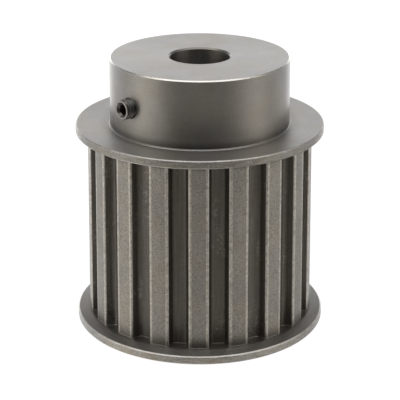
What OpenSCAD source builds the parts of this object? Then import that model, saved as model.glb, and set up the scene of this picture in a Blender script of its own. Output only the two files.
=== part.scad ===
// Timing belt pulley, 18 grooves of 1/2 inch pitch for a 2 inch wide belt.
// A toothed body with a hub on one end, two pressed-on flange rings and two
// socket set screws. Millimetres, +Z along the bore, from the outer flange
// face (z = 0) to the hub's end face. The front is -Y.

/* [Belt teeth] */
// Number of belt grooves
grooves = 18; // [16:1:24]
// Belt pitch
pitch = 12.7; // [12.7:0.1:12.8]
// Distance from the pitch line down to the tooth tips
pitch_line_offset = 0.686; // [0.5:0.01:0.9]
// Radial depth of a belt groove
groove_depth = 3.05; // [2.4:0.05:3.2]
// Width of a groove at its floor
groove_floor_w = 4.19; // [3.8:0.01:4.4]
// Included angle between the two sides of a groove
groove_angle = 40; // [36:1:44]
// Radius between a groove's side and its floor
root_r = 1.45; // [0.8:0.05:1.6]
// Radius on the tooth tips
tip_r = 0.7; // [0.4:0.05:1.2]
// Length of the teeth, between the two flanges
face_w = 57.4; // [52:0.1:62]
// Bevel on the two ends of every tooth
tooth_end_bevel = 0.2; // [0.1:0.05:0.8]
// Angle of one tooth's middle from the front (-Y) direction
tooth_phase = -0.5; // [-10:0.1:10]

/* [Hub] */
// Hub diameter
hub_d = 57.15; // [54:0.05:57.3]
// Length of the hub beyond the flange
hub_l = 21.2; // [18:0.1:30]
// Bevel on the hub's outer edge
hub_bevel = 0.4; // [0.3:0.05:1.2]
// Bore diameter, for a 3/4 inch shaft
bore_d = 19.05; // [15.88:0.01:22.3]
// Bevel on both mouths of the bore
bore_bevel = 0.5; // [0.2:0.05:0.8]

/* [Flanges] */
// Outer diameter of both flange rings
flange_d = 79.0; // [77:0.1:84]
// Thickness of a flange ring where the teeth rest on it
flange_t = 3.1; // [2.6:0.05:3.6]
// Thickness of a flange ring at its rim
rim_t = 2.6; // [1.8:0.05:2.8]
// Distance the dished outer side rises from the shoulder to the rim
flange_dish = 0.4; // [0.1:0.05:0.6]
// Diameter at which the belt side starts to slope away to the rim
slope_d = 72.4; // [66:0.1:73]
// Diameter of the shoulder that a flange ring is pressed on
shoulder_d = 57.8; // [57.4:0.05:60]
// Bevel on the flange rim's edges
rim_bevel = 0.35; // [0.15:0.05:0.6]
// Size of the lip that is rolled over the ring's bore edge
lip = 0.25; // [0.15:0.05:0.4]

/* [Set screws] */
// Crest diameter of the set screw's thread, 1/4 inch nominal
screw_d = 6.3; // [6.2:0.01:6.4]
// Thread pitch, 20 threads to the inch
screw_pitch = 1.27; // [1.1:0.001:1.4]
// Depth of the thread
thread_h = 0.6; // [0.4:0.01:0.65]
// Length of a set screw
screw_l = 12.7; // [9.5:0.1:12.7]
// Width across flats of the hexagon socket
socket_af = 3.175; // [2.9:0.005:3.3]
// Depth of the hexagon socket
socket_depth = 3.8; // [3:0.1:4.5]
// Mouth diameter of the socket's countersink
sink_d = 4.7; // [4:0.05:4.9]
// Diameter of the end face, inside its bevel
screw_face_d = 5.85; // [5.2:0.05:6.1]
// Radial clearance between the thread crests and the hub's hole
screw_gap = 0.05; // [0.03:0.01:0.08]
// Distance the first screw stands proud of the hub
screw_proud_a = 3.0; // [0:0.1:5]
// Distance the second screw stands proud of the hub
screw_proud_b = 0.9; // [0:0.1:5]
// Height of the screws' axes above the hub-side flange
screw_rise = 9.7; // [7:0.1:14]
// Direction of the first screw, from the front (-Y), positive towards +X
screw_a_azimuth = -49; // [-90:1:90]
// Angle from the first screw round to the second
screw_spread = -90; // [-120:5:-60]

/* [Hidden] */
$fn = 96;

steel = [0.47, 0.46, 0.44];
ring_steel = [0.55, 0.54, 0.52];
black_steel = [0.13, 0.13, 0.13];

// Radii
pitch_circle_r = grooves * pitch / (2 * PI);
tip_circle_r = pitch_circle_r - pitch_line_offset;
root_circle_r = tip_circle_r - groove_depth;
hub_r = hub_d / 2;
bore_r = bore_d / 2;
shoulder_r = shoulder_d / 2;
flange_r = flange_d / 2;
crest_r = screw_d / 2;

// Heights along the bore; the teeth run from seat_lo to seat_hi
flange_h = flange_t + flange_dish;
seat_lo = flange_h;
seat_hi = seat_lo + face_w;
over_flanges = seat_hi + flange_h;
shoulder_z = over_flanges - flange_dish;
total_l = over_flanges + hub_l;
screw_z = over_flanges + screw_rise;

screw_b_azimuth = screw_a_azimuth + screw_spread;

// How far cutting shapes run past the surfaces they cut
bore_overrun = 1;
hole_overrun = 5;
envelope_overrun = 0.2;
side_overrun = 3;
tip_overrun = 1.2;
tip_overlap = 0.1;
thread_overrun = 0.3;
socket_overrun = 1;
sink_overrun = 0.5;

// Set screw point: cup radius and depth, and outer radius of the flat round it
cup_r = 1.55;
cup_depth = 0.75;
point_r = 2.0;

// Thread grooves: middle of the first one, length of screw left without them,
// and half widths at the floor and at the mouth, thread_overrun past the crests
thread_start = 1.9;
thread_margin = 3.2;
thread_floor_half = screw_pitch * 0.07;
thread_mouth_half = screw_pitch * 0.42 + 0.17;

// Right side of a groove that opens in +Y: a line along side_dir, at distance
// side_dist from the bore axis along side_normal, which points into the tooth
half_angle = groove_angle / 2;
side_normal = [cos(half_angle), -sin(half_angle)];
side_dir = [sin(half_angle), cos(half_angle)];
side_dist = side_normal * [groove_floor_w / 2, root_circle_r];

// Rounding between floor and side
root_y = root_circle_r + root_r;
root_x = (side_dist - root_r + root_y * sin(half_angle)) / cos(half_angle);
root_centre = [root_x, root_y];
root_tangent = root_centre + root_r * side_normal;
floor_end = root_centre - [0, root_r];

// Rounding on the tooth tip, centred inside the tooth
tip_along = sqrt(pow(tip_circle_r - tip_r, 2) - pow(side_dist + tip_r, 2));
tip_centre = (side_dist + tip_r) * side_normal + tip_along * side_dir;
tip_tangent = tip_centre - tip_r * side_normal;
tip_outside = tip_centre * ((tip_circle_r + tip_overrun) / norm(tip_centre));
side_outside = side_dist * side_normal + (tip_along + side_overrun) * side_dir;

function flip(point) = [-point[0], point[1]];

// The corner that is cut off a tooth tip, on the groove's right side
module tip_corner() {
    overlap = tip_overlap * side_normal;
    difference() {
        polygon([tip_centre, tip_tangent, tip_tangent - overlap,
                 side_outside - overlap, tip_outside]);
        translate(tip_centre) circle(r = tip_r);
    }
}

// The cross-section of one belt groove, open outwards, in the +Y direction
module groove_section() {
    polygon([flip(floor_end), floor_end, root_tangent, side_outside,
             flip(side_outside), flip(root_tangent)]);
    translate(root_centre) circle(r = root_r);
    translate(flip(root_centre)) circle(r = root_r);
    tip_corner();
    mirror([1, 0]) tip_corner();
}

// The toothed rim as a long prism with round corners in every groove
module toothed_prism() {
    translate([0, 0, seat_lo])
        linear_extrude(height = face_w)
            difference() {
                circle(r = tip_circle_r);
                for (i = [0:grooves - 1])
                    rotate(180 + tooth_phase + (i + 0.5) * 360 / grooves) groove_section();
            }
}

// Turned envelope that bevels the prism's tooth ends
module tooth_envelope() {
    inner_r = tip_circle_r - tooth_end_bevel;
    outer_r = tip_circle_r + envelope_overrun;
    slope = tooth_end_bevel + envelope_overrun;
    rotate_extrude()
        polygon([[0, seat_lo], [inner_r, seat_lo], [outer_r, seat_lo + slope],
                 [outer_r, seat_hi - slope], [inner_r, seat_hi], [0, seat_hi]]);
}

// Turned core: the two shoulders with their rolled lips, and the hub
module turned_core() {
    lip_r = shoulder_r + lip;
    rotate_extrude()
        polygon([[0, 0], [lip_r, 0], [lip_r, flange_dish],
                 [shoulder_r, flange_dish + lip], [shoulder_r, shoulder_z - lip],
                 [lip_r, shoulder_z], [hub_r, shoulder_z + lip],
                 [hub_r, total_l - hub_bevel], [hub_r - hub_bevel, total_l], [0, total_l]]);
}

// Through bore with a bevelled mouth at each end
module bore() {
    mouth_h = bore_bevel + bore_overrun;
    mouth_r = bore_r + mouth_h;
    translate([0, 0, -bore_overrun]) cylinder(h = total_l + 2 * bore_overrun, r = bore_r);
    translate([0, 0, -bore_overrun]) cylinder(h = mouth_h, r1 = mouth_r, r2 = bore_r);
    translate([0, 0, total_l - bore_bevel]) cylinder(h = mouth_h, r1 = bore_r, r2 = mouth_r);
}

// Places a child, drawn along +Z, on a screw axis: its origin goes to the
// bore axis and +Z points straight out of the hub
module on_screw_axis(azimuth) {
    translate([0, 0, screw_z]) rotate([0, 0, azimuth]) rotate([90, 0, 0]) children();
}

module screw_hole(azimuth) {
    on_screw_axis(azimuth) cylinder(h = hub_r + hole_overrun, r = crest_r + screw_gap);
}

// Body with belt teeth, shoulders and hub in one piece
module toothed_body() {
    color(steel)
        difference() {
            union() {
                intersection() {
                    toothed_prism();
                    tooth_envelope();
                }
                turned_core();
            }
            bore();
            screw_hole(screw_a_azimuth);
            screw_hole(screw_b_azimuth);
        }
}

// Steel ring with its belt side at z = 0, sloping away towards the rim, and
// its slightly dished outer side up
module flange_ring() {
    rim_z = flange_h - rim_t;
    color(ring_steel)
        rotate_extrude()
            polygon([[shoulder_r, 0], [slope_d / 2, 0],
                     [flange_r - rim_bevel, rim_z], [flange_r, rim_z + rim_bevel],
                     [flange_r, flange_h - rim_bevel], [flange_r - rim_bevel, flange_h],
                     [shoulder_r + lip, flange_t], [shoulder_r, flange_t - lip]]);
}

module hub_side_flange() {
    translate([0, 0, seat_hi]) flange_ring();
}

module outer_flange() {
    translate([0, 0, seat_lo]) mirror([0, 0, 1]) flange_ring();
}

// One ring-shaped thread groove, cut round the screw at height z
module thread_groove(z) {
    floor_r = crest_r - thread_h;
    mouth_r = crest_r + thread_overrun;
    translate([0, 0, z])
        rotate_extrude()
            polygon([[mouth_r, -thread_mouth_half], [floor_r, -thread_floor_half],
                     [floor_r, thread_floor_half], [mouth_r, thread_mouth_half]]);
}

// Socket set screw: cup point at z = 0, socket face at z = screw_l
module set_screw() {
    face_r = screw_face_d / 2;
    last_groove = floor((screw_l - thread_margin) / screw_pitch);
    sink_depth = (sink_d - socket_af) / 2;
    color(black_steel)
        difference() {
            rotate_extrude()
                polygon([[0, cup_depth], [cup_r, 0], [point_r, 0],
                         [crest_r, crest_r - point_r], [crest_r, screw_l - (crest_r - face_r)],
                         [face_r, screw_l], [0, screw_l]]);
            for (i = [0:last_groove]) thread_groove(thread_start + i * screw_pitch);
            translate([0, 0, screw_l - socket_depth])
                cylinder(h = socket_depth + socket_overrun, d = socket_af / cos(30), $fn = 6);
            translate([0, 0, screw_l - sink_depth])
                cylinder(h = sink_depth + sink_overrun,
                         r1 = socket_af / 2, r2 = sink_d / 2 + sink_overrun);
        }
}

// A set screw in its hole, with its socket face standing proud of the hub
module placed_screw(azimuth, proud) {
    on_screw_axis(azimuth)
        translate([0, 0, hub_r + proud - screw_l]) set_screw();
}

// First screw, pointing out to the front and -X
module set_screw_front() {
    placed_screw(screw_a_azimuth, screw_proud_a);
}

// Second screw, pointing out to the rear and -X, set deeper than the first
module set_screw_rear() {
    placed_screw(screw_b_azimuth, screw_proud_b);
}

toothed_body();
hub_side_flange();
outer_flange();
set_screw_front();
set_screw_rear();
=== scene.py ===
# Timing belt pulley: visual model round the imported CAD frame.
import bpy
import math
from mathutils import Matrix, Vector


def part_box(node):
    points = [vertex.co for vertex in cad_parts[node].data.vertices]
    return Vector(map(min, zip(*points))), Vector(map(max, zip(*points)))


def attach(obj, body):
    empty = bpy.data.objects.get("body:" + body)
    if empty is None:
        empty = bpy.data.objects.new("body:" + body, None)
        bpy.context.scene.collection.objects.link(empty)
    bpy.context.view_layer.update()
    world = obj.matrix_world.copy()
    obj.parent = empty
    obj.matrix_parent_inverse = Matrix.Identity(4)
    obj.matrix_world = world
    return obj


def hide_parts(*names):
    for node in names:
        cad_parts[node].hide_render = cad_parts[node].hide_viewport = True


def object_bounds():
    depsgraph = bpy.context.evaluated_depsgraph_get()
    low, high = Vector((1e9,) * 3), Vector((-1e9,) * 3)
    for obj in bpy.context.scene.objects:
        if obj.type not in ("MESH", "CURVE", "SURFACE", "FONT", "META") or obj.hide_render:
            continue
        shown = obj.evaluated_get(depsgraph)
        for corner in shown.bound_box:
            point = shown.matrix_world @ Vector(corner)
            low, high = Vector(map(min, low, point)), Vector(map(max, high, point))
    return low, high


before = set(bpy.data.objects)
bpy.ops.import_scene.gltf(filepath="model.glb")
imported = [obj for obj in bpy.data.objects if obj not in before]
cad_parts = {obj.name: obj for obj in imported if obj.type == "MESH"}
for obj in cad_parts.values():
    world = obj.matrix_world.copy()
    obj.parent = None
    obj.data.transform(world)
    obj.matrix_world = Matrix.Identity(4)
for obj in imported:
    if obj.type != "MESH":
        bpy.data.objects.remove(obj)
cad_lo, cad_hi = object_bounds()

MM = 0.001
PI = math.pi


def sind(a):
    return math.sin(math.radians(a))


def cosd(a):
    return math.cos(math.radians(a))


# ---------------------------------------------------------------- sizes, mm
lo_f, hi_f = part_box("outer_flange")
lo_h, hi_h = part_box("hub_side_flange")
lo_b, hi_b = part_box("toothed_body")
FLANGE_R = (cad_hi[1] - cad_lo[1]) / 2 / MM
FLANGE_H = (hi_f[2] - lo_f[2]) / MM    # whole height of a dished ring
DISH = 0.4
FLANGE_T = FLANGE_H - DISH
Z_TEETH0 = hi_f[2] / MM                # belt side of the outer flange
Z_TEETH1 = lo_h[2] / MM                # belt side of the hub-side flange
Z_OVER = hi_h[2] / MM                  # hub-side flange's outer face
TOTAL = hi_b[2] / MM
GROOVES = 18
PITCH = 12.7
TIP_R0 = GROOVES * PITCH / (2 * PI) - 0.686
ROOT_R0 = TIP_R0 - 3.05
FLOOR_W = 4.19
HALF_A = 20.0
ROOT_R = 1.45
TIP_R = 0.7
FOOT_R = 0.25
PHASE = -0.5
HUB_R = 28.575
HUB_BEVEL = 0.4
BORE_R = 9.525
BORE_BEVEL = 0.5
SHOULDER_R = 28.9
LIP = 0.25
RIM_BEVEL = 0.35
RIM_T = 2.6
SLOPE_R = 36.2
Z_SHOULDER = Z_OVER - DISH             # where the hub leaves its shoulder
SCREW_Z = Z_OVER + 9.7
SCREW_AZ = (-49.0, -139.0)
HOLE_R = 3.2


# ------------------------------------------------------------ mesh builder
class Build:
    """Collects faces given as corner points and corner normals, and welds equal points."""

    def __init__(self):
        self.v, self.key, self.f, self.n, self.m = [], {}, [], [], []

    def vert(self, p):
        k = (math.floor(p[0] / 2e-4 + 0.37), math.floor(p[1] / 2e-4 + 0.37), math.floor(p[2] / 2e-4 + 0.37))
        i = self.key.get(k)
        if i is None:
            i = self.key[k] = len(self.v)
            self.v.append((p[0] * MM, p[1] * MM, p[2] * MM))
        return i

    def face(self, pts, nors, mat=0):
        idx, nn, pp = [], [], []
        for p, n in zip(pts, nors):
            i = self.vert(p)
            if i in idx:
                continue
            idx.append(i)
            nn.append(n)
            pp.append(p)
        if len(idx) < 3:
            return
        gx = gy = gz = 0.0
        for a in range(len(pp)):
            p, q = pp[a], pp[(a + 1) % len(pp)]
            gx += (p[1] - q[1]) * (p[2] + q[2])
            gy += (p[2] - q[2]) * (p[0] + q[0])
            gz += (p[0] - q[0]) * (p[1] + q[1])
        s = sum(gx * n[0] + gy * n[1] + gz * n[2] for n in nn)
        if s < 0:
            idx.reverse()
            nn.reverse()
        self.f.append(idx)
        self.n.extend(nn)
        self.m.append(mat)

    def grid(self, rows, mat=0, closed=False):
        """rows: list of rows; each row is a list of (point, normal up to this row, normal from this row on)."""
        for ra, rb in zip(rows[:-1], rows[1:]):
            m = len(ra)
            for j in range(m if closed else m - 1):
                k = (j + 1) % m
                self.face([ra[j][0], ra[k][0], rb[k][0], rb[j][0]],
                          [ra[j][2], ra[k][2], rb[k][1], rb[j][1]], mat)

    def strip(self, la, lb, mat=0):
        """Joins two closed loops of different counts. Each entry is (angle, point, normal), sorted by angle."""
        na, nb = len(la), len(lb)
        i = j = 0
        start = min(range(nb), key=lambda t: abs((lb[t][0] - la[0][0] + PI) % (2 * PI) - PI))
        lb = lb[start:] + lb[:start]
        base = la[0][0]

        def ang(l, t):
            n = len(l)
            a = (l[t % n][0] - base) % (2 * PI)
            if t == 0 and a > PI:
                a -= 2 * PI
            if t >= n:
                a = (l[t % n][0] - base) % (2 * PI)
                if a > PI:
                    a -= 2 * PI
                a += 2 * PI
            return a
        while i < na or j < nb:
            ga = ang(la, i + 1) if i < na else 1e9
            gb = ang(lb, j + 1) if j < nb else 1e9
            if ga <= gb:
                tri = [la[i % na], la[(i + 1) % na], lb[j % nb]]
                i += 1
            else:
                tri = [la[i % na], lb[(j + 1) % nb], lb[j % nb]]
                j += 1
            self.face([t[1] for t in tri], [t[2] for t in tri], mat)

    def make(self, name, mats):
        me = bpy.data.meshes.new(name)
        me.from_pydata(self.v, [], self.f)
        for m in mats:
            me.materials.append(m)
        me.polygons.foreach_set("material_index", self.m)
        me.shade_smooth()
        me.update()
        me.normals_split_custom_set(self.n)
        me.validate()
        ob = bpy.data.objects.new(name, me)
        bpy.context.scene.collection.objects.link(ob)
        return ob


def lathe_rows(profile, angles, flip=1):
    """profile: list of (r, z, (nr, nz) before, (nr, nz) after) -> rows for Build.grid, closed."""
    rows = []
    for r, z, n0, n1 in profile:
        row = []
        for a in angles:
            sx, cy = math.sin(a), -math.cos(a)
            row.append(((r * sx, r * cy, z), (n0[0] * sx, n0[0] * cy, n0[1]), (n1[0] * sx, n1[0] * cy, n1[1])))
        rows.append(row)
    return rows


def unit(x, y):
    l = math.hypot(x, y) or 1.0
    return (x / l, y / l)


def arc_pts(cx, cz, r, a0, a1, n, sign=1):
    """Points of an arc in the (r, z) plane with normals away from (sign 1) or towards (sign -1) its centre."""
    out = []
    for i in range(n + 1):
        a = math.radians(a0 + (a1 - a0) * i / n)
        nr, nz = sign * math.cos(a), sign * math.sin(a)
        out.append((cx + r * math.cos(a), cz + r * math.sin(a), (nr, nz), (nr, nz)))
    return out


def corner(p, d0, d1, r, n, convex=True):
    """A rounded corner at p between unit directions d0 (arriving) and d1 (leaving), radius r. The solid is on the left of travel if convex normals point right."""
    turn = math.acos(max(-1, min(1, d0[0] * d1[0] + d0[1] * d1[1])))
    t = r * math.tan(turn / 2)
    cr = d0[0] * d1[1] - d0[1] * d1[0]
    s = 1 if cr > 0 else -1                      # left turn: centre on the left
    a = (p[0] - d0[0] * t, p[1] - d0[1] * t)
    c = (a[0] - d0[1] * r * s, a[1] + d0[0] * r * s)
    out = []
    for i in range(n + 1):
        ang = turn * i / n * s
        vx, vz = a[0] - c[0], a[1] - c[1]
        x = vx * math.cos(ang) - vz * math.sin(ang)
        z = vx * math.sin(ang) + vz * math.cos(ang)
        nr = (x * s / r, z * s / r)              # right-hand normal of travel
        out.append((c[0] + x, c[1] + z, nr, nr))
    return out


def path(points, radii, n=4):
    """An open (r, z) path with rounded corners. Normals point to the right of travel."""
    out = []
    dirs = [unit(q[0] - p[0], q[1] - p[1]) for p, q in zip(points[:-1], points[1:])]
    right = [(d[1], -d[0]) for d in dirs]
    out.append((points[0][0], points[0][1], right[0], right[0]))
    for i in range(1, len(points) - 1):
        if radii[i] > 0:
            out += corner(points[i], dirs[i - 1], dirs[i], radii[i], n)
        else:
            out.append((points[i][0], points[i][1], right[i - 1], right[i]))
    out.append((points[-1][0], points[-1][1], right[-1], right[-1]))
    return out


# --------------------------------------------------------------- materials
def nodes_of(name):
    m = bpy.data.materials.new(name)
    m.use_nodes = True
    nt = m.node_tree
    nt.nodes.clear()
    return m, nt


class N:
    """Small helper for wiring shader nodes."""

    def __init__(self, nt):
        self.nt = nt

    def new(self, kind, **kw):
        n = self.nt.nodes.new(kind)
        for k, v in kw.items():
            setattr(n, k, v)
        return n

    def put(self, sock, val):
        if isinstance(val, bpy.types.NodeSocket):
            self.nt.links.new(val, sock)
        elif val is not None:
            sock.default_value = val

    def math(self, op, a, b=None, c=None, clamp=False):
        n = self.new("ShaderNodeMath", operation=op, use_clamp=clamp)
        self.put(n.inputs[0], a)
        if b is not None:
            self.put(n.inputs[1], b)
        if c is not None:
            self.put(n.inputs[2], c)
        return n.outputs[0]

    def comb(self, x, y, z):
        n = self.new("ShaderNodeCombineXYZ")
        self.put(n.inputs[0], x)
        self.put(n.inputs[1], y)
        self.put(n.inputs[2], z)
        return n.outputs[0]

    def noise(self, vec, scale, detail=3.0, rough=0.55, dist=0.0):
        n = self.new("ShaderNodeTexNoise")
        n.noise_dimensions = "3D"
        self.put(n.inputs["Vector"], vec)
        n.inputs["Scale"].default_value = scale
        n.inputs["Detail"].default_value = detail
        n.inputs["Roughness"].default_value = rough
        n.inputs["Distortion"].default_value = dist
        return n.outputs[0]

    def voronoi(self, vec, scale, feature="F1", rand=1.0):
        n = self.new("ShaderNodeTexVoronoi")
        n.feature = feature
        self.put(n.inputs["Vector"], vec)
        n.inputs["Scale"].default_value = scale
        n.inputs["Randomness"].default_value = rand
        return n.outputs["Distance"]

    def remap(self, v, a, b, c, d, kind="LINEAR"):
        n = self.new("ShaderNodeMapRange")
        n.interpolation_type = kind
        n.clamp = True
        self.put(n.inputs["Value"], v)
        n.inputs["From Min"].default_value = a
        n.inputs["From Max"].default_value = b
        n.inputs["To Min"].default_value = c
        n.inputs["To Max"].default_value = d
        return n.outputs[0]

    def mixc(self, f, a, b, kind="MIX"):
        n = self.new("ShaderNodeMix")
        n.data_type = "RGBA"
        n.blend_type = kind
        self.put(n.inputs[0], f)
        self.put(n.inputs[6], a)
        self.put(n.inputs[7], b)
        return n.outputs[2]

    def bump(self, height, strength, dist, normal=None):
        n = self.new("ShaderNodeBump")
        self.put(n.inputs["Height"], height)
        n.inputs["Strength"].default_value = strength
        n.inputs["Distance"].default_value = dist
        if normal is not None:
            self.put(n.inputs["Normal"], normal)
        return n.outputs[0]


def coords(n):
    """Object position in millimetres, with radius, angle and height."""
    tc = n.new("ShaderNodeTexCoord")
    sc = n.new("ShaderNodeVectorMath", operation="SCALE")
    n.put(sc.inputs[0], tc.outputs["Object"])
    sc.inputs["Scale"].default_value = 1000.0
    xyz = n.new("ShaderNodeSeparateXYZ")
    n.put(xyz.inputs[0], sc.outputs[0])
    x, y, z = xyz.outputs
    r = n.math("SQRT", n.math("ADD", n.math("MULTIPLY", x, x), n.math("MULTIPLY", y, y)))
    ang = n.math("ARCTAN2", x, n.math("MULTIPLY", y, -1.0))
    return sc.outputs[0], x, y, z, r, ang


def metal(name, color, dark, warm, rough, rough_var, build, aniso=0.0, painted_shade=None):
    """A worn steel: build(n, coordinates) returns (shade 0..1, warmth 0..1, roughness offset, bump normal);
    painted_shade returns a painted shade factor, 1 where no shade is painted.
    """
    m, nt = nodes_of(name)
    n = N(nt)
    c = coords(n)
    shade, warmth, dr, nor = build(n, c)
    base = n.mixc(shade, (*dark, 1), (*color, 1))
    base = n.mixc(warmth, base, (*warm, 1), "MULTIPLY")
    if painted_shade:
        g = painted_shade(n, c)
        base = n.mixc(1.0, base, n.comb(g, g, g), "MULTIPLY")
    b = n.new("ShaderNodeBsdfPrincipled")
    n.put(b.inputs["Base Color"], base)
    b.inputs["Metallic"].default_value = 1.0
    n.put(b.inputs["Roughness"], n.math("ADD", n.math("MULTIPLY", dr, rough_var), rough, clamp=True))
    if aniso:
        # tool marks run round the axis, so the sheen spreads across them
        b.inputs["Anisotropic"].default_value = aniso
        b.inputs["Anisotropic Rotation"].default_value = 0.25
        tan = n.new("ShaderNodeTangent")
        tan.direction_type = "RADIAL"
        tan.axis = "Z"
        n.put(b.inputs["Tangent"], tan.outputs[0])
    if nor is not None:
        n.put(b.inputs["Normal"], nor)
    out = n.new("ShaderNodeOutputMaterial")
    nt.links.new(b.outputs[0], out.inputs[0])
    return m


def ringed(n, c, around, fine):
    """Noise stretched round the axis: around sets its length, fine its pitch along the axis and the radius."""
    v, x, y, z, r, ang = c
    return n.comb(n.math("MULTIPLY", n.math("SINE", ang), around), n.math("MULTIPLY", n.math("COSINE", ang), around), n.math("MULTIPLY", n.math("ADD", z, r), fine))


def build_turned(n, c):
    v, x, y, z, r, ang = c
    lines = n.noise(ringed(n, c, 2.2, 5.0), 1.0, 3.0, 0.65)
    fine = n.noise(v, 2.6, 3.0, 0.65)
    blot = n.noise(v, 0.14, 3.0, 0.55)
    nick = n.remap(n.noise(v, 1.1, 5.0, 0.75), 0.60, 0.70, 0.0, 1.0)
    shade = n.math("ADD", n.math("MULTIPLY", blot, 0.40), n.math("ADD", n.math("MULTIPLY", lines, 0.30), n.math("MULTIPLY", fine, 0.75)))
    shade = n.remap(shade, 0.42, 1.02, 0.0, 1.0)
    shade = n.math("ADD", shade, n.math("MULTIPLY", nick, 0.25), clamp=True)
    warmth = n.remap(n.noise(v, 0.11, 2.0, 0.5), 0.40, 0.66, 0.0, 1.0)
    h = n.math("ADD", n.math("MULTIPLY", lines, 0.5), n.math("MULTIPLY", fine, 0.7))
    return shade, warmth, n.math("SUBTRACT", fine, 0.5), n.bump(h, 0.35, 0.00006)


def painted_shade_near_rings(n, c, low, high, deep):
    """Painted shade: 1 in the middle of the teeth, falling to `deep` where they meet the flange rings, over `low` mm
    above the outer ring and `high` mm below the other.
    """
    z = c[3]
    a = n.remap(z, Z_TEETH0, Z_TEETH0 + low, deep, 1.0, "SMOOTHSTEP")
    b = n.remap(z, Z_TEETH1 - high, Z_TEETH1, 1.0, deep, "SMOOTHSTEP")
    return n.math("MULTIPLY", a, b)


def hub_foot_painted_shade(n, c):
    # painted shade at the foot of the hub, with a painted dark reflection of the flange at the front; none on the
    # rolled lip and the end faces, and the wall and lip are 12 percent darker than the end faces
    y, z, r = c[2], c[3], c[4]
    low = n.math("MULTIPLY", n.remap(z, Z_SHOULDER + 0.4, Z_SHOULDER + 3.2, 1.0, 0.0, "SMOOTHSTEP"), n.remap(y, -28.5, -21.0, 0.40, 0.44))
    high = n.math("MULTIPLY", n.remap(z, Z_SHOULDER + 1.0, Z_SHOULDER + 8.0, 1.0, 0.0, "SMOOTHSTEP"), n.remap(y, -28.5, -21.0, 0.28, 0.0))
    foot = n.math("SUBTRACT", n.math("SUBTRACT", 1.0, low), high)
    foot = n.math("MAXIMUM", foot, n.remap(z, Z_SHOULDER + 0.30, Z_SHOULDER + 0.36, 1.0, 0.0))
    return n.math("MULTIPLY", foot, n.remap(r, HUB_R - 0.3, HUB_R - 0.1, 1.0, 0.88))


def ring_corner_painted_shade(n, c):
    # painted shade on the ring's outer face next to the shoulder, fading out over about 3.6 mm
    return n.remap(c[4], SHOULDER_R + 0.4, SHOULDER_R + 4.0, 0.86, 1.0, "SMOOTHSTEP")


def build_land(n, c):
    v, x, y, z, r, ang = c
    grain = n.noise(v, 2.3, 4.0, 0.75)
    pits = n.remap(n.voronoi(v, 1.7), 0.10, 0.42, 0.0, 1.0)
    hole = n.remap(n.noise(v, 1.5, 3.0, 0.7), 0.30, 0.42, 0.0, 1.0)
    blot = n.noise(v, 0.13, 3.0, 0.6)
    shade = n.math("ADD", n.math("MULTIPLY", grain, 1.35), n.math("ADD", n.math("MULTIPLY", blot, 0.35), n.math("MULTIPLY", pits, 0.30)))
    shade = n.remap(shade, 0.72, 1.35, 0.0, 1.0)
    shade = n.math("MULTIPLY", shade, n.remap(hole, 0.0, 1.0, 0.25, 1.0))
    shade = n.math("MULTIPLY", shade, painted_shade_near_rings(n, c, 4.5, 1.6, 0.15))
    warmth = n.remap(n.noise(v, 0.12, 2.0, 0.5), 0.38, 0.62, 0.0, 1.0)
    h = n.math("ADD", grain, n.math("ADD", n.math("MULTIPLY", pits, 0.35), n.math("MULTIPLY", hole, 0.5)))
    return shade, warmth, n.math("SUBTRACT", grain, 0.5), n.bump(h, 0.6, 0.00016)


def build_edge(n, c):
    v, x, y, z, r, ang = c
    grain = n.noise(v, 1.9, 4.0, 0.75)
    wear = n.remap(n.noise(v, 0.8, 3.0, 0.7), 0.36, 0.56, 0.0, 1.0)
    shade = n.math("MULTIPLY", n.remap(grain, 0.34, 0.62, 0.2, 1.0), n.remap(wear, 0.0, 1.0, 0.35, 1.0))
    shade = n.math("MULTIPLY", shade, painted_shade_near_rings(n, c, 3.0, 1.0, 0.3))
    return shade, n.remap(grain, 0.4, 0.7, 0.0, 1.0), n.math("SUBTRACT", grain, 0.5), n.bump(grain, 0.6, 0.00018)


def build_groove(n, c):
    v, x, y, z, r, ang = c
    st = n.comb(n.math("MULTIPLY", x, 2.6), n.math("MULTIPLY", y, 2.6), n.math("MULTIPLY", z, 0.08))
    streak = n.noise(st, 1.0, 3.0, 0.65)
    grain = n.noise(v, 2.4, 3.0, 0.6)
    band = n.noise(n.comb(n.math("MULTIPLY", x, 0.35), n.math("MULTIPLY", y, 0.35), n.math("MULTIPLY", z, 1.4)), 1.0, 3.0, 0.6)
    # pale rubbed and limy spots that gather in a few places low in the grooves
    zone = n.remap(n.noise(n.comb(n.math("MULTIPLY", x, 0.30), n.math("MULTIPLY", y, 0.30), n.math("MULTIPLY", z, 0.09)), 1.0, 1.0, 0.5), 0.56, 0.66, 0.0, 1.0)
    spot = n.math("MULTIPLY", n.remap(n.noise(v, 1.0, 4.0, 0.75), 0.50, 0.66, 0.0, 1.0), zone)
    shade = n.math("ADD", n.math("MULTIPLY", streak, 0.7), n.math("ADD", n.math("MULTIPLY", grain, 0.35), n.math("MULTIPLY", band, 0.25)))
    shade = n.remap(shade, 0.45, 0.95, 0.0, 0.75)
    shade = n.math("ADD", shade, n.math("MULTIPLY", spot, 1.6))
    warmth = n.remap(n.noise(v, 0.10, 2.0, 0.5), 0.36, 0.60, 0.0, 1.0)
    return shade, warmth, n.math("SUBTRACT", grain, 0.5), n.bump(n.math("ADD", streak, n.math("MULTIPLY", grain, 0.6)), 0.5, 0.0001)


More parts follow.
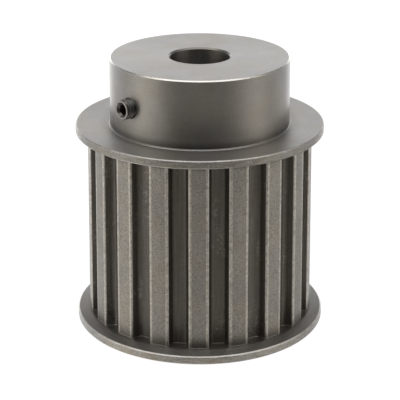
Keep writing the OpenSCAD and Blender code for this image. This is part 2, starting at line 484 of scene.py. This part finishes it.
def build_flange(n, c):
    v, x, y, z, r, ang = c
    lines = n.noise(ringed(n, c, 1.6, 4.0), 1.0, 3.0, 0.65)
    fine = n.noise(v, 2.2, 4.0, 0.65)
    blot = n.noise(v, 0.12, 3.0, 0.55)
    shade = n.math("ADD", n.math("MULTIPLY", blot, 0.40), n.math("ADD", n.math("MULTIPLY", lines, 0.35), n.math("MULTIPLY", fine, 0.70)))
    shade = n.remap(shade, 0.42, 1.02, 0.0, 1.0)
    warmth = n.remap(n.noise(v, 0.10, 2.0, 0.5), 0.40, 0.64, 0.0, 1.0)
    return shade, warmth, n.math("SUBTRACT", fine, 0.5), n.bump(n.math("ADD", fine, n.math("MULTIPLY", lines, 0.6)), 0.35, 0.00007)


def build_belt_side(n, c):
    v, x, y, z, r, ang = c
    rub = n.noise(ringed(n, c, 3.0, 2.2), 1.0, 4.0, 0.7)
    fine = n.noise(v, 2.2, 4.0, 0.7)
    blot = n.noise(v, 0.16, 3.0, 0.6)
    shade = n.math("ADD", n.math("MULTIPLY", rub, 0.55), n.math("ADD", n.math("MULTIPLY", fine, 0.55), n.math("MULTIPLY", blot, 0.35)))
    shade = n.remap(shade, 0.45, 1.0, 0.0, 1.0)
    warmth = n.remap(blot, 0.38, 0.62, 0.2, 1.0)
    return shade, warmth, n.math("SUBTRACT", fine, 0.5), n.bump(n.math("ADD", rub, fine), 0.45, 0.00012)


def build_rim(n, c):
    v, x, y, z, r, ang = c
    grain = n.noise(v, 2.0, 4.0, 0.75)
    smear = n.noise(ringed(n, c, 10.0, 2.6), 1.0, 4.0, 0.7)
    shade = n.math("ADD", n.math("MULTIPLY", grain, 1.1), n.math("MULTIPLY", smear, 0.7))
    shade = n.remap(shade, 0.72, 1.14, 0.0, 1.0)
    warmth = n.remap(n.noise(v, 0.2, 2.0, 0.5), 0.38, 0.62, 0.0, 1.0)
    # painted shade: the hub-side ring, further from the bright table, is a little darker
    shade = n.math("SUBTRACT", shade, n.remap(z, Z_TEETH1, Z_TEETH1 + 1.0, 0.0, 0.30), clamp=True)
    return shade, warmth, n.math("SUBTRACT", grain, 0.5), n.bump(n.math("ADD", grain, n.math("MULTIPLY", smear, 0.6)), 0.6, 0.00018)


def build_oxide(n, c):
    v, x, y, z, r, ang = c
    g = n.noise(v, 3.2, 4.0, 0.7)
    b = n.noise(v, 0.9, 3.0, 0.6)
    shade = n.remap(n.math("ADD", g, b), 0.75, 1.3, 0.0, 1.0)
    return shade, n.remap(b, 0.45, 0.7, 0.0, 0.6), n.math("SUBTRACT", g, 0.5), n.bump(g, 0.4, 0.00004)


WARM = (1.0, 0.965, 0.915)
M_HUB = metal("turned_hub_steel", (0.56, 0.553, 0.54), (0.38, 0.374, 0.362), WARM, 0.38, 0.12, build_turned, 0.35, hub_foot_painted_shade)
M_LAND = metal("tooth_land_steel", (0.545, 0.533, 0.512), (0.21, 0.204, 0.194), WARM, 0.46, 0.2, build_land)
# tooth tip radii: rubbed wear plus a painted highlight, a much paler steel than the lands
M_EDGE = metal("worn_tooth_edge_painted_highlight", (0.90, 0.885, 0.86), (0.42, 0.41, 0.39), WARM, 0.36, 0.2, build_edge)
# the ring bevels and the hub's top bevel are paler steel than their faces: painted highlight lines
M_BEVEL = metal("bevel_steel_painted_highlight", (0.80, 0.79, 0.77), (0.53, 0.52, 0.505), WARM, 0.34, 0.16, build_rim)
M_HUBBEVEL = metal("hub_bevel_steel_painted_highlight", (1.0, 0.985, 0.96), (0.80, 0.79, 0.77), WARM, 0.26, 0.12, build_belt_side)
M_GROOVE = metal("groove_steel", (0.318, 0.309, 0.293), (0.159, 0.154, 0.146), WARM, 0.44, 0.16, build_groove)
M_FLANGE = metal("flange_ring_steel", (0.53, 0.522, 0.51), (0.34, 0.334, 0.322), WARM, 0.44, 0.12, build_flange, 0.35, ring_corner_painted_shade)
M_RIM = metal("flange_rim_steel", (0.70, 0.689, 0.67), (0.35, 0.343, 0.328), WARM, 0.36, 0.16, build_rim)
M_BELT = metal("flange_belt_side_steel", (0.312, 0.305, 0.292), (0.18, 0.175, 0.166), WARM, 0.46, 0.2, build_belt_side)
M_BORE = metal("bored_steel", (0.439, 0.430, 0.413), (0.219, 0.215, 0.206), WARM, 0.36, 0.2, build_turned, 0.7)
M_SCREW = metal("black_oxide", (0.30, 0.30, 0.29), (0.10, 0.10, 0.098), WARM, 0.40, 0.2, build_oxide)
M_FACE = metal("worn_socket_face", (0.60, 0.59, 0.575), (0.34, 0.335, 0.33), WARM, 0.36, 0.2, build_oxide)

# ------------------------------------------------------------ toothed body
B = Build()
side_n = (cosd(HALF_A), -sind(HALF_A))
side_d = (sind(HALF_A), cosd(HALF_A))
side_c = side_n[0] * FLOOR_W / 2 + side_n[1] * ROOT_R0
root_cx = (side_c - ROOT_R + (ROOT_R0 + ROOT_R) * sind(HALF_A)) / cosd(HALF_A)
root_c = (root_cx, ROOT_R0 + ROOT_R)
t_tip = math.sqrt((TIP_R0 - TIP_R) ** 2 - (side_c + TIP_R) ** 2)
tip_c = ((side_c + TIP_R) * side_n[0] + t_tip * side_d[0], (side_c + TIP_R) * side_n[1] + t_tip * side_d[1])

# half of one pitch of the profile, from the floor's middle to the land's middle:
# (x, y, normal before, normal after, material after)
half = []
for i in range(3):
    half.append((root_cx * i / 2.0, ROOT_R0, (0, 1), (0, 1), 2))
for i in range(1, 9):
    a = math.radians(-90 + 70 * i / 8)
    nn = (-math.cos(a), -math.sin(a))
    half.append((root_c[0] + ROOT_R * math.cos(a), root_c[1] + ROOT_R * math.sin(a), nn, nn, 2))
a0 = math.radians(180 - HALF_A)
a1 = math.atan2(tip_c[1], tip_c[0])
q0 = (half[-1][0], half[-1][1])
q1 = (tip_c[0] + TIP_R * math.cos(a0), tip_c[1] + TIP_R * math.sin(a0))
for i in range(1, 3):
    half.append((q0[0] + (q1[0] - q0[0]) * i / 3, q0[1] + (q1[1] - q0[1]) * i / 3, (-side_n[0], -side_n[1]), (-side_n[0], -side_n[1]), 2))
for i in range(7):
    a = a0 + (a1 - a0) * i / 6
    nn = (math.cos(a), math.sin(a))
    half.append((tip_c[0] + TIP_R * nn[0], tip_c[1] + TIP_R * nn[1], nn, nn, 2 if i < 1 else 4))
b0 = math.atan2(half[-1][0], half[-1][1])
for i in range(1, 8):
    b = b0 + (math.radians(180.0 / GROOVES) - b0) * i / 7
    half.append((TIP_R0 * math.sin(b), TIP_R0 * math.cos(b), (math.sin(b), math.cos(b)), (math.sin(b), math.cos(b)), 1))

ring = []          # the whole profile: (x, y, normal, material of the span that follows)
for g in range(GROOVES):
    al = math.radians(180 + PHASE + (g + 0.5) * 360.0 / GROOVES)
    ca, sa = math.cos(al), math.sin(al)
    seq = [(x, y, nb, m) for x, y, na, nb, m in reversed(half)]
    seq = [(p[0], p[1], p[2], seq[min(k + 1, len(seq) - 1)][3]) for k, p in enumerate(seq)]
    seq = seq[:-1] + [(-x, y, (-nb[0], nb[1]), m) for x, y, na, nb, m in half][:-1]
    for x, y, nrm, m in seq:
        ring.append((x * ca - y * sa, x * sa + y * ca, (nrm[0] * ca - nrm[1] * sa, nrm[0] * sa + nrm[1] * ca), m))

rows = []
# (height, growth of the land's radius, radial part of the normal, its vertical part):
# a small concave foot where each tooth meets a flange ring
foot = []
for i in range(6):
    a = math.radians(90 * i / 5)
    foot.append((FOOT_R * (1 - math.cos(a)), FOOT_R * (1 - math.sin(a)), math.sin(a), math.cos(a)))
zs = [(Z_TEETH0 + dz, gr, cr, cz) for dz, gr, cr, cz in foot]
for k in range(1, 14):
    zs.append((Z_TEETH0 + FOOT_R + (Z_TEETH1 - Z_TEETH0 - 2 * FOOT_R) * k / 14.0, 0.0, 1, 0))
zs += [(Z_TEETH1 - dz, gr, cr, -cz) for dz, gr, cr, cz in reversed(foot)]
for zz, gr, cr, cz in zs:
    row = []
    for x, y, nrm, m in ring:
        nn = (nrm[0] * cr, nrm[1] * cr, cz)
        row.append(((x + nrm[0] * gr, y + nrm[1] * gr, zz), nn, nn))
    rows.append(row)
for q, (ra, rb) in enumerate(zip(rows[:-1], rows[1:])):
    m = len(ra)
    # the small concave feet where the teeth meet the rings take the dark groove steel: painted shade in the crease
    at_foot = q < 5 or q >= len(rows) - 6
    for j in range(m):
        k = (j + 1) % m
        B.face([ra[j][0], ra[k][0], rb[k][0], rb[j][0]], [ra[j][2], ra[k][2], rb[k][1], rb[j][1]], 2 if at_foot else ring[j][3])

COLS = 720
ang720 = [2 * PI * i / COLS for i in range(COLS)]


def loop_of(row, nz):
    """(angle from -Y, point, normal) of a row, sorted by angle."""
    out = [(math.atan2(p[0][0], -p[0][1]) % (2 * PI), p[0], (0, 0, nz)) for p in row]
    return sorted(out, key=lambda t: t[0])


def circle_loop(r, z, nz, angles):
    return [(a % (2 * PI), (r * math.sin(a), -r * math.cos(a), z), (0, 0, nz)) for a in angles]


B.strip(loop_of(rows[0], -1), circle_loop(SHOULDER_R, Z_TEETH0, -1, ang720), 0)
B.strip(loop_of(rows[-1], 1), circle_loop(SHOULDER_R, Z_TEETH1, 1, ang720), 0)

# outer end: shoulder, rolled lip, end face, bore mouth. Travel keeps the metal on the left.
ZB0 = BORE_BEVEL
prof = path([(BORE_R, ZB0), (BORE_R + BORE_BEVEL, 0.0), (SHOULDER_R + LIP - 0.02, 0.0), (SHOULDER_R + LIP - 0.02, DISH), (SHOULDER_R, DISH + LIP), (SHOULDER_R, Z_TEETH0)],
            [0, 0.08, 0.12, 0.05, 0.05, 0], 3)
B.grid(lathe_rows([(r, z, a, b) for r, z, a, b in prof], ang720), 0, closed=True)

# hub side: shoulder, rolled lip that stands just proud, up to the straight hub wall
prof = path([(SHOULDER_R, Z_TEETH1), (SHOULDER_R, Z_SHOULDER - LIP), (SHOULDER_R + LIP - 0.01, Z_SHOULDER), (SHOULDER_R + LIP - 0.16, Z_SHOULDER + 0.16), (HUB_R + 0.05, Z_SHOULDER + LIP - 0.05), (HUB_R, Z_SHOULDER + LIP), (HUB_R, Z_SHOULDER + LIP + 0.35)],
            [0, 0.05, 0.03, 0.06, 0.03, 0.03, 0], 3)
B.grid(lathe_rows(prof, ang720), 0, closed=True)
Z_H0 = Z_SHOULDER + LIP + 0.35

# hub top: rounded bevel, end face, bore mouth
prof = path([(HUB_R, TOTAL - HUB_BEVEL - 0.3), (HUB_R, TOTAL - HUB_BEVEL), (HUB_R - HUB_BEVEL, TOTAL), (BORE_R + BORE_BEVEL, TOTAL), (BORE_R, TOTAL - BORE_BEVEL)],
            [0, 0.13, 0.13, 0.1, 0], 5)
hub_top = lathe_rows(prof, ang720)
cut = next(i for i in range(len(prof)) if prof[i][0] < BORE_R + BORE_BEVEL - 0.01 + 0.06)
bev = [i for i in range(cut) if prof[i][0] > HUB_R - HUB_BEVEL - 0.02 and prof[i + 1][1] > TOTAL - HUB_BEVEL + 0.02]
B.grid(hub_top[:bev[0] + 1], 0, closed=True)
B.grid(hub_top[bev[0]:bev[-1] + 2], 5, closed=True)
B.grid(hub_top[bev[-1] + 1:cut + 1], 0, closed=True)
B.grid(hub_top[cut:], 3, closed=True)
Z_H1 = TOTAL - HUB_BEVEL - 0.3


def pierced_wall(R, cols, zrows, holes, half_cols, half_rows, mat, inward, rim=0.0):
    """A cylinder wall on a grid, with round holes that open along a horizontal axis. Returns each hole's edge loop."""
    loops = []
    sgn = -1 if inward else 1

    def P(a, z):
        return (R * math.sin(a), -R * math.cos(a), z)

    def NR(a):
        return (sgn * math.sin(a), -sgn * math.cos(a), 0.0)
    skip = set()
    blocks = []
    for az in holes:
        ci = int(round((math.radians(az) % (2 * PI)) / (2 * PI) * cols)) % cols
        ri = min(range(len(zrows)), key=lambda k: abs(zrows[k] - SCREW_Z))
        blocks.append((az, ci, ri))
        for c in range(ci - half_cols, ci + half_cols):
            for r in range(ri - half_rows, ri + half_rows):
                skip.add((c % cols, r))
    for r in range(len(zrows) - 1):
        for c in range(cols):
            if (c, r) in skip:
                continue
            a, b = 2 * PI * c / cols, 2 * PI * (c + 1) / cols
            B.face([P(a, zrows[r]), P(b, zrows[r]), P(b, zrows[r + 1]), P(a, zrows[r + 1])], [NR(a), NR(b), NR(b), NR(a)], mat)
    for az, ci, ri in blocks:
        a0 = math.radians(az)
        bound = []
        c0, c1, r0, r1 = ci - half_cols, ci + half_cols, ri - half_rows, ri + half_rows
        seq = [(c, r0) for c in range(c0, c1)] + [(c1, r) for r in range(r0, r1)] + [(c, r1) for c in range(c1, c0, -1)] + [(c0, r) for r in range(r1, r0, -1)]
        for c, r in seq:
            a = 2 * PI * c / cols
            d = (a - a0 + PI) % (2 * PI) - PI
            bound.append((R * math.sin(d), zrows[r] - SCREW_Z, a))
        rings = []
        e0 = HOLE_R + rim
        steps = 7
        for k in range(steps + 1):
            f = (k / steps) ** 0.8
            ring_k = []
            for s, t, a in bound:
                psi = math.atan2(t, s)
                if k == 0:
                    ring_k.append((P(a, SCREW_Z + t), NR(a), psi))
                else:
                    s2 = s + (e0 * math.cos(psi) - s) * f
                    t2 = t + (e0 * math.sin(psi) - t) * f
                    aa = a0 + math.asin(max(-1, min(1, s2 / R)))
                    ring_k.append((P(aa, SCREW_Z + t2), NR(aa), psi))
            rings.append(ring_k)
        for ra, rb in zip(rings[:-1], rings[1:]):
            m = len(ra)
            for j in range(m):
                k = (j + 1) % m
                B.face([ra[j][0], ra[k][0], rb[k][0], rb[j][0]], [ra[j][1], ra[k][1], rb[k][1], rb[j][1]], mat)
        last = rings[-1]
        if rim > 0:
            # rounded mouth: the surface sinks along the screw axis as it turns into the hole
            for q in range(1, 5):
                ph = math.radians(90 * q / 4)
                nxt = []
                for p, nr, psi in rings[-1]:
                    rho = e0 - rim * math.sin(ph)
                    s2, t2 = rho * math.cos(psi), rho * math.sin(psi)
                    s_edge = e0 * math.cos(psi)
                    depth = rim * (1 - math.cos(ph))
                    d = math.sqrt(R * R - s2 * s2) - depth * 1.0
                    ex, ey = math.sin(a0), -math.cos(a0)
                    tx, ty = math.cos(a0), math.sin(a0)
                    pos = (ex * d + tx * s2, ey * d + ty * s2, SCREW_Z + t2)
                    wn = (-(tx * math.cos(psi)), -(ty * math.cos(psi)), -math.sin(psi))
                    aa = a0 + math.asin(max(-1, min(1, s2 / R)))
                    sn = NR(aa)
                    nn = tuple(sn[i] * math.cos(ph) + wn[i] * math.sin(ph) for i in range(3))
                    nxt.append((pos, nn, psi))
                m = len(last)
                for j in range(m):
                    k = (j + 1) % m
                    B.face([last[j][0], last[k][0], nxt[k][0], nxt[j][0]], [last[j][1], last[k][1], nxt[k][1], nxt[j][1]], mat)
                last = nxt
        loops.append((az, last))
    return loops


nrow = 41
zr = [Z_H0 + (Z_H1 - Z_H0) * i / (nrow - 1) for i in range(nrow)]
hub_loops = pierced_wall(HUB_R, COLS, zr, SCREW_AZ, 20, 10, 0, False, 0.16)
# the bore wall: 720 columns at both mouths, a coarser grid between them
BC = 180
ang180 = [2 * PI * i / BC for i in range(BC)]
zb = [1.5 + (TOTAL - 3.0) * i / 104 for i in range(105)]


def radial_loop(r, z, angles):
    return [(a % (2 * PI), (r * math.sin(a), -r * math.cos(a), z), (-math.sin(a), math.cos(a), 0)) for a in angles]


B.strip(radial_loop(BORE_R, BORE_BEVEL, ang720), radial_loop(BORE_R, zb[0], ang180), 3)
B.strip(radial_loop(BORE_R, TOTAL - BORE_BEVEL, ang720), radial_loop(BORE_R, zb[-1], ang180), 3)
bore_loops = pierced_wall(BORE_R, BC, zb, SCREW_AZ, 16, 6, 3, True, 0.0)

for (az, outer), (_, inner) in zip(hub_loops, bore_loops):
    a0 = math.radians(az)
    tx, ty = math.cos(a0), math.sin(a0)

    def wall(lp):
        out = [(psi % (2 * PI), p, (-(tx * math.cos(psi)), -(ty * math.cos(psi)), -math.sin(psi))) for p, n_, psi in lp]
        return sorted(out, key=lambda t: t[0])
    B.strip(wall(outer), wall(inner), 3)

body = B.make("pulley_body", [M_HUB, M_LAND, M_GROOVE, M_BORE, M_EDGE, M_HUBBEVEL])
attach(body, "pulley")
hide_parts("toothed_body")


# ------------------------------------------------------------ flange rings
def flange(name, node, z0, up):
    """z0 is the belt side; up is +1 where the outer side faces +Z."""
    F = Build()
    dz = FLANGE_H - RIM_T
    pts = [(SHOULDER_R, z0 + up * (FLANGE_T - LIP)), (SHOULDER_R, z0), (SLOPE_R, z0), (FLANGE_R - RIM_BEVEL, z0 + up * dz), (FLANGE_R, z0 + up * (dz + RIM_BEVEL)),
           (FLANGE_R, z0 + up * (FLANGE_H - RIM_BEVEL)), (FLANGE_R - RIM_BEVEL, z0 + up * FLANGE_H),
           (SHOULDER_R + LIP, z0 + up * FLANGE_T), (SHOULDER_R, z0 + up * (FLANGE_T - LIP))]
    rad = [0, 0.05, 3.0, 0.22, 0.22, 0.22, 0.22, 0.05, 0]
    prof = path(pts, rad, 4)
    if up < 0:
        prof = [(r, z, (-a[0], -a[1]), (-b[0], -b[1])) for r, z, a, b in prof]
    rws = lathe_rows(prof, ang720)
    for q in range(len(rws) - 1):
        on_rim = min(prof[q][0], prof[q + 1][0]) > FLANGE_R - RIM_BEVEL - 0.12
        zm = (prof[q][1] + prof[q + 1][1]) / 2
        belt = (zm - z0) * up < FLANGE_H - RIM_T + 0.1
        slanted = abs(abs(prof[q][0] - prof[q + 1][0]) - abs(prof[q][1] - prof[q + 1][1])) < 0.6 * abs(prof[q][0] - prof[q + 1][0])
        F.grid(rws[q:q + 2], 3 if on_rim and slanted else 1 if on_rim else 2 if belt else 0, closed=True)
    ob = F.make(name, [M_FLANGE, M_RIM, M_BELT, M_BEVEL])
    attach(ob, "pulley")
    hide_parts(node)
    return ob


flange("flange_ring_hub_side", "hub_side_flange", Z_TEETH1, 1)
flange("flange_ring_outer", "outer_flange", Z_TEETH0, -1)


# -------------------------------------------------------------- set screws
def set_screw(name, node, body_name, az, proud):
    S = Build()
    L, P = 12.7, 1.27
    crest, depth = 3.14, 0.6
    face_r, point_r, cup_r = 2.92, 2.0, 1.55
    NA = 96
    a0 = math.radians(az)
    e = (math.sin(a0), -math.cos(a0), 0.0)
    t = (math.cos(a0), math.sin(a0), 0.0)
    base = HUB_R + proud - L

    def W(rho, th, h):
        s, u = rho * math.cos(th), rho * math.sin(th)
        return (e[0] * (base + h) + t[0] * s, e[1] * (base + h) + t[1] * s, SCREW_Z + u)

    def WN(nr, nh, th):
        s, u = nr * math.cos(th), nr * math.sin(th)
        return (e[0] * nh + t[0] * s, e[1] * nh + t[1] * s, u)

    # one pitch of the thread: phase -> radius, a 60 degree V with a rounded root and a flat crest
    us = []
    for k in range(20):
        us.append(k / 20.0)

    def thread(u):
        u = u - math.floor(u)
        d = abs(u - 0.5) * 2          # 1 at the crest's middle, 0 at the root's middle
        if d > 0.875:
            return crest
        if d < 0.16:
            return crest - depth + 0.02 * (d / 0.16) ** 2
        f = (d - 0.16) / (0.875 - 0.16)
        return crest - depth + 0.02 + (depth - 0.02) * f

    r_end = 0.05

    def env(h):
        top = face_r + (L - h) * 0.85
        bot = point_r + h * 1.0
        return min(top, bot)

    turns = int(L / P) + 3
    uu = [k + q for k in range(-2, turns) for q in us]
    rows = []
    for u in uu:
        row = []
        for j in range(NA + 1):
            th = 2 * PI * j / NA
            h = (u + j / NA) * P
            h = max(0.0, min(L - 0.0, h))
            row.append((min(thread(u) if 0 < h < L else 99, env(h)), th, h))
        rows.append(row)

    def surf_n(u, j):
        """Normal from the analytic radius function."""
        th = 2 * PI * j / NA
        h = max(0.0, min(L, (u + j / NA) * P))

        def rad(hh):
            return min(thread(hh / P - j / NA), env(hh))
        d = 0.02
        slope = (rad(min(L, h + d)) - rad(max(0, h - d))) / (min(L, h + d) - max(0, h - d))
        l = math.sqrt(1 + slope * slope)
        return WN(1 / l, -slope / l, th)
    for k in range(len(rows) - 1):
        ra, rb = rows[k], rows[k + 1]
        for j in range(NA):
            quad = [(ra[j], uu[k], j), (ra[j + 1], uu[k], j + 1), (rb[j + 1], uu[k + 1], j + 1), (rb[j], uu[k + 1], j)]
            if all(q[0][2] <= 0 for q in quad) or all(q[0][2] >= L for q in quad):
                continue
            S.face([W(*q[0]) for q in quad], [surf_n(q[1], q[2]) for q in quad], 0)

    ths = [2 * PI * j / NA for j in range(NA)]
    AF = 3.175 / 2

    def hexr(th):
        a = (th + PI / 6) % (PI / 3) - PI / 6
        return min(AF / math.cos(a), 1.81)

    def hexn(th):
        k = round((th) / (PI / 3))
        a = k * PI / 3
        return (-math.cos(a), -math.sin(a))

    def ringrow(fr, fh, nr0, nh0, nr1, nh1):
        return [(W(fr(th), th, fh(th)), WN(nr0, nh0, th), WN(nr1, nh1, th)) for th in ths]
    ch = 2.35                                # countersink radius at the face
    q = 1 / math.sqrt(2)
    rings = [
        ringrow(lambda th: face_r, lambda th: L, 0, 1, 0.25, 0.97),
        ringrow(lambda th: face_r - 0.06, lambda th: L, 0, 1, 0, 1),
        ringrow(lambda th: ch + 0.03, lambda th: L, 0, 1, 0, 1),
        ringrow(lambda th: ch, lambda th: L - 0.01, -0.38, 0.92, -q, q),
    ]
    S.grid(rings, 1, closed=True)
    rings = [
        ringrow(lambda th: ch, lambda th: L - 0.01, -0.38, 0.92, -q, q),
        ringrow(lambda th: hexr(th), lambda th: L - (ch - hexr(th)), -q, q, -q, q),
    ]
    S.grid(rings, 0, closed=True)
    top = [(W(hexr(th), th, L - (ch - hexr(th))), th) for th in ths]
    bot = [(W(hexr(th), th, L - 3.8), th) for th in ths]
    for j in range(NA):
        k = (j + 1) % NA
        nn = hexn((ths[j] + PI / NA))
        wn = (t[0] * nn[0], t[1] * nn[0], nn[1])
        S.face([top[j][0], top[k][0], bot[k][0], bot[j][0]], [wn] * 4, 0)
    tipc = W(0, 0, L - 4.4)
    for j in range(NA):
        k = (j + 1) % NA
        cn = [WN(-0.3, 0.954, ths[j]), WN(-0.3, 0.954, ths[k]), WN(0, 1, 0)]
        S.face([bot[j][0], bot[k][0], tipc], cn, 0)
    # cup point
    rings = [
        ringrow(lambda th: point_r, lambda th: 0.0, 0.2, -0.98, 0, -1),
        ringrow(lambda th: cup_r, lambda th: 0.0, 0, -1, -0.35, -0.94),
        ringrow(lambda th: 0.8, lambda th: 0.36, -0.43, -0.90, -0.43, -0.90),
    ]
    S.grid(rings, 0, closed=True)
    tip = W(0, 0, 0.74)
    for j in range(NA):
        k = (j + 1) % NA
        S.face([W(0.8, ths[j], 0.36), W(0.8, ths[k], 0.36), tip], [WN(-0.43, -0.90, ths[j]), WN(-0.43, -0.90, ths[k]), WN(0, -1, 0)], 0)
    ob = S.make(name, [M_SCREW, M_FACE])
    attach(ob, body_name)
    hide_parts(node)
    return ob


set_screw("socket_set_screw_front", "set_screw_front", "front_screw", SCREW_AZ[0], 3.0)
set_screw("socket_set_screw_rear", "set_screw_rear", "rear_screw", SCREW_AZ[1], 0.9)

# ------------------------------------------------------------------- stage
fl = bpy.data.meshes.new("floor")
S_ = 3.0
fl.from_pydata([(-S_, -S_, -2e-5), (S_, -S_, -2e-5), (S_, S_, -2e-5), (-S_, S_, -2e-5)], [], [(0, 1, 2, 3)])
floor = bpy.data.objects.new("floor", fl)
bpy.context.scene.collection.objects.link(floor)
m, nt = nodes_of("pale_floor")
n = N(nt)
em = n.new("ShaderNodeEmission")
em.inputs["Color"].default_value = (1, 1, 1, 1)
em.inputs["Strength"].default_value = 0.93
df = n.new("ShaderNodeBsdfDiffuse")
df.inputs["Color"].default_value = (0.2, 0.2, 0.2, 1)
ad = n.new("ShaderNodeAddShader")
nt.links.new(em.outputs[0], ad.inputs[0])
nt.links.new(df.outputs[0], ad.inputs[1])
# clear when seen from underneath
clear = n.new("ShaderNodeBsdfTransparent")
side = n.new("ShaderNodeNewGeometry")
mx = n.new("ShaderNodeMixShader")
nt.links.new(side.outputs["Backfacing"], mx.inputs[0])
nt.links.new(ad.outputs[0], mx.inputs[1])
nt.links.new(clear.outputs[0], mx.inputs[2])
out = n.new("ShaderNodeOutputMaterial")
nt.links.new(mx.outputs[0], out.inputs[0])
fl.materials.append(m)
floor.visible_glossy = False
floor.visible_diffuse = False
floor.visible_shadow = False

# ---------------------------------------------------------------- lighting
# Soft studio surroundings, all made of equal soft patches of light: compass
# direction (from the front, positive to the right), elevation and brightness.
# Overhead light, panels to the sides and behind, and the bright table below.
PATCHES = [
    (0, 68, 0.48),
    (180, -70, 0.60),
    (0, 90, 0.52),
    (-36, 76, 0.55),
    (-72, 58, 1.25),
    (36, 58, 0.69),
    (72, 58, 1.05),
    (-77, 40, 0.17),
    (-51, 40, 0.33),
    (180, 40, 1.10),
    (-80, 22, 0.47),
    (-60, 22, 0.75),
    (60, 22, 0.51),
    (80, 22, 1.25),
    (120, 22, 0.14),
    (160, 22, 0.19),
    (-160, 5, 1.29),
    (-120, 5, 0.80),
    (-100, 5, 0.55),
    (-80, 5, 0.76),
    (100, 5, 0.33),
    (160, 5, 0.73),
    (180, 5, 0.25),
    (-160, -12, 1.40),
    (-140, -12, 0.05),
    (-80, -12, 0.38),
    (-60, -12, 0.29),
    (80, -12, 0.60),
    (120, -12, 0.52),
    (160, -12, 1.43),
    (-132, -30, 0.65),
    (-84, -30, 0.19),
    (-60, -30, 0.15),
    (60, -30, 0.40),
    (132, -30, 0.24),
    (-82, -50, 0.74),
    (-49, -50, 0.49),
    (-16, -50, 0.77),
    (16, -50, 0.95),
    (49, -50, 0.30),
    (82, -50, 0.59),
    (-120, -70, 1.62),
]
SPREAD = 22.0
AMBIENT = 0.05

world = bpy.data.worlds.new("studio")
bpy.context.scene.world = world
world.use_nodes = True
wt = world.node_tree
wt.nodes.clear()
w = N(wt)
tc = w.new("ShaderNodeTexCoord")
nrm = w.new("ShaderNodeVectorMath", operation="NORMALIZE")
w.put(nrm.inputs[0], tc.outputs["Generated"])
total = None
for az, el, b in PATCHES:
    d = (sind(az) * cosd(el), -cosd(az) * cosd(el), sind(el))
    dot = w.new("ShaderNodeVectorMath", operation="DOT_PRODUCT")
    w.put(dot.inputs[0], nrm.outputs[0])
    dot.inputs[1].default_value = d
    g = w.math("MULTIPLY", w.math("EXPONENT", w.math("MULTIPLY", w.math("SUBTRACT", dot.outputs["Value"], 1.0), SPREAD)), b)
    total = g if total is None else w.math("ADD", total, g)
total = w.math("ADD", total, AMBIENT)
bg1 = w.new("ShaderNodeBackground")
w.put(bg1.inputs["Strength"], total)
# the room in front is a little warmer than the white table and the overhead light
xyz = w.new("ShaderNodeSeparateXYZ")
w.put(xyz.inputs[0], nrm.outputs[0])


def fade(v, one, zero):
    return w.math("MINIMUM", w.math("MAXIMUM", w.math("DIVIDE", w.math("SUBTRACT", v, zero), one - zero), 0.0), 1.0)


warm = w.math("MULTIPLY", fade(xyz.outputs["Y"], 0.0, 0.45), fade(xyz.outputs["Z"], 0.6, 0.9))
tint = w.new("ShaderNodeCombineColor")
tint.inputs[0].default_value = 1.0
w.put(tint.inputs[1], w.math("SUBTRACT", 1.0, w.math("MULTIPLY", warm, 0.055)))
w.put(tint.inputs[2], w.math("SUBTRACT", 1.0, w.math("MULTIPLY", warm, 0.14)))
w.put(bg1.inputs["Color"], tint.outputs[0])
bg2 = w.new("ShaderNodeBackground")
bg2.inputs["Strength"].default_value = 1.0
lp = w.new("ShaderNodeLightPath")
mx = w.new("ShaderNodeMixShader")
w.put(mx.inputs[0], lp.outputs["Is Camera Ray"])
wt.links.new(bg1.outputs[0], mx.inputs[1])
wt.links.new(bg2.outputs[0], mx.inputs[2])
wo = w.new("ShaderNodeOutputWorld")
wt.links.new(mx.outputs[0], wo.inputs[0])

sc = bpy.context.scene
sc.view_settings.view_transform = "Standard"
sc.view_settings.look = "None"
sc.view_settings.exposure = 0.0
sc.view_settings.gamma = 1.0

# ------------------------------------------------------------------ camera
F_PX, PITCH_DEG, CAM_Y, CAM_Z, CAM_X, AXIS_ROW = 1469.1, 11.297, 448.96, 209.31, 0.068, -50.0
cam_data = bpy.data.cameras.new("camera")
cam = bpy.data.objects.new("camera", cam_data)
sc.collection.objects.link(cam)
cam_data.sensor_width = 36.0
cam_data.lens = F_PX / 400.0 * 36.0
cam_data.clip_start, cam_data.clip_end = 0.01, 20.0
cam.location = (CAM_X * MM, -CAM_Y * MM, CAM_Z * MM)
cam.rotation_euler = (math.radians(90.0 - PITCH_DEG), 0.0, 0.0)
sc.camera = cam
# The camera looks down less than the frame suggests: its lens is shifted. The
# shift belongs to the main view only, so it follows the camera's place, and from
# any other place the object stays in the middle of the frame.
drv = cam_data.driver_add("shift_y").driver
drv.type = "SCRIPTED"
for vname, axis in (("px", "LOC_X"), ("py", "LOC_Y"), ("pz", "LOC_Z")):
    var = drv.variables.new()
    var.name, var.type = vname, "TRANSFORMS"
    var.targets[0].id = cam
    var.targets[0].transform_type = axis
    var.targets[0].transform_space = "WORLD_SPACE"
drv.expression = "%.7f if abs(px - %.6f) + abs(py + %.6f) + abs(pz - %.6f) < 0.0001 else 0.0" % (
    (AXIS_ROW - 200.0) / 400.0, CAM_X * MM, CAM_Y * MM, CAM_Z * MM)

bpy.context.view_layer.update()
